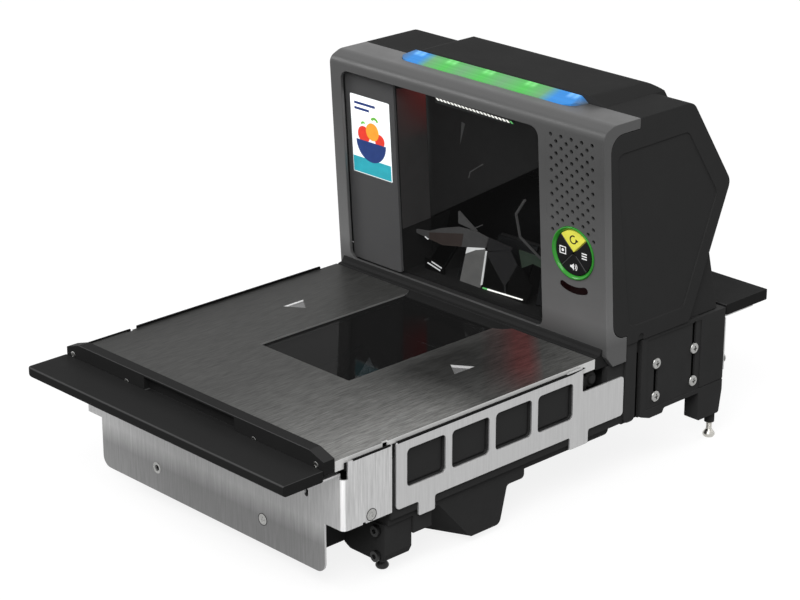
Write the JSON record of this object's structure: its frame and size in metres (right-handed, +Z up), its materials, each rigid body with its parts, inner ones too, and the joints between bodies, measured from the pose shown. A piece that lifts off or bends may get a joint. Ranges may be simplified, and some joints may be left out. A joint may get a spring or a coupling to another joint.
{
  "type": "in-counter scanner-scale",
  "caption": "Scanner-scale for a checkout counter: weighing platter with a horizontal window, leaning scanner tower with a vertical window, and counter filler plates.",
  "frame": {"origin": "middle of the bounding box on the floor under the feet", "axes": "+X to the operator's right, +Y from the operator to the back, +Z up"},
  "size_m": [0.29, 0.5104, 0.291],
  "materials": {
    "steel": "brushed",
    "black_plastic": "fine texture",
    "filler_black": "satin",
    "bezel_grey": "satin",
    "dark_glass": "polished",
    "panel_dark": "satin",
    "screen": "lit",
    "light_bar": "lit, milky",
    "lamp_white": "lit",
    "mirror": "polished",
    "screw_steel": "satin",
    "screw_black": "satin",
    "foot_steel": "turned",
    "cast_aluminium": "cast",
    "rubber": "matte",
    "circuit": "satin",
    "ring_green": "lit",
    "key_yellow": "satin",
    "key_black": "satin",
    "lens": "polished",
    "laser_brass": "turned",
    "socket_shell": "plated"
  },
  "bodies": {
    "base": {"side_plate_left": "steel", "side_plate_right": "steel", "front_bracket": "steel", "rear_filler_bracket": "steel", "base_tub": "black_plastic", "front_frame": "black_plastic", "front_leg_left": "black_plastic", "front_leg_right": "black_plastic", "rear_base": "black_plastic", "rear_bracket_left": "black_plastic", "rear_bracket_right": "black_plastic", "tower_shell": "black_plastic", "cable_cover": "black_plastic", "top_cover": "black_plastic", "rear_sill": "black_plastic", "window_frame": "black_plastic", "optics_chassis": "black_plastic", "tower_bench": "black_plastic", "speaker": "black_plastic", "front_filler": "filler_black", "rear_filler": "filler_black", "produce_rail": "filler_black", "tower_bezel": "bezel_grey", "control_panel": "bezel_grey", "deck_glass": "dark_glass", "tower_glass": "dark_glass", "display_panel": "panel_dark", "display_screen": "screen", "light_bar": "light_bar", "illumination_bar": "lamp_white", "base_mirrors": "mirror", "tower_mirrors": "mirror", "apron_screws": "screw_steel", "rail_screws": "screw_steel", "rear_filler_screws": "screw_steel", "bracket_screws": "screw_steel", "leg_bolts": "screw_black", "scan_motor": "foot_steel", "weigh_frame": "cast_aluminium", "load_cell": "cast_aluminium", "load_cell_spacers": "cast_aluminium", "platter_pads": "rubber", "light_board": "circuit", "key_board": "circuit", "main_board": "circuit", "key_ring": "ring_green", "ir_lens": "lens", "laser_module": "laser_brass", "io_sockets": "socket_shell"},
    "platter": {"platter": "steel"},
    "polygon": {"polygon_mirror": "mirror"},
    "key_top": {"key_top": "key_yellow"},
    "key_right": {"key_right": "key_black"},
    "key_bottom": {"key_bottom": "key_black"},
    "key_left": {"key_left": "key_black"},
    "foot_front_left": {"foot_front_left": "foot_steel"},
    "foot_front_right": {"foot_front_right": "foot_steel"},
    "foot_rear_left": {"foot_rear_left": "foot_steel"},
    "foot_rear_right": {"foot_rear_right": "foot_steel"}
  },
  "joints": [
    {"name": "platter_lift", "type": "slide", "parent": "base", "child": "platter", "axis": [0, 0, 1], "range_m": [0, 0.06]},
    {"name": "key_top_press", "type": "slide", "parent": "base", "child": "key_top", "axis": [0, 0.9981, 0.061], "range_m": [0, 0.0008], "stiffness_N_per_m": 1200},
    {"name": "key_right_press", "type": "slide", "parent": "base", "child": "key_right", "axis": [0, 0.9981, 0.061], "range_m": [0, 0.0008], "stiffness_N_per_m": 1200},
    {"name": "key_bottom_press", "type": "slide", "parent": "base", "child": "key_bottom", "axis": [0, 0.9981, 0.061], "range_m": [0, 0.0008], "stiffness_N_per_m": 1200},
    {"name": "key_left_press", "type": "slide", "parent": "base", "child": "key_left", "axis": [0, 0.9981, 0.061], "range_m": [0, 0.0008], "stiffness_N_per_m": 1200},
    {"name": "polygon_spin", "type": "hinge", "parent": "base", "child": "polygon", "pos_m": [0.04, 0.122, 0.0671], "axis": [0, 0, 1], "continuous": true},
    {"name": "foot_front_left_level", "type": "slide", "parent": "base", "child": "foot_front_left", "axis": [0, 0, 1], "range_m": [0, 0.003]},
    {"name": "foot_front_right_level", "type": "slide", "parent": "base", "child": "foot_front_right", "axis": [0, 0, 1], "range_m": [0, 0.003]},
    {"name": "foot_rear_left_level", "type": "slide", "parent": "base", "child": "foot_rear_left", "axis": [0, 0, 1], "range_m": [0, 0.003]},
    {"name": "foot_rear_right_level", "type": "slide", "parent": "base", "child": "foot_rear_right", "axis": [0, 0, 1], "range_m": [0, 0.003]}
  ]
}
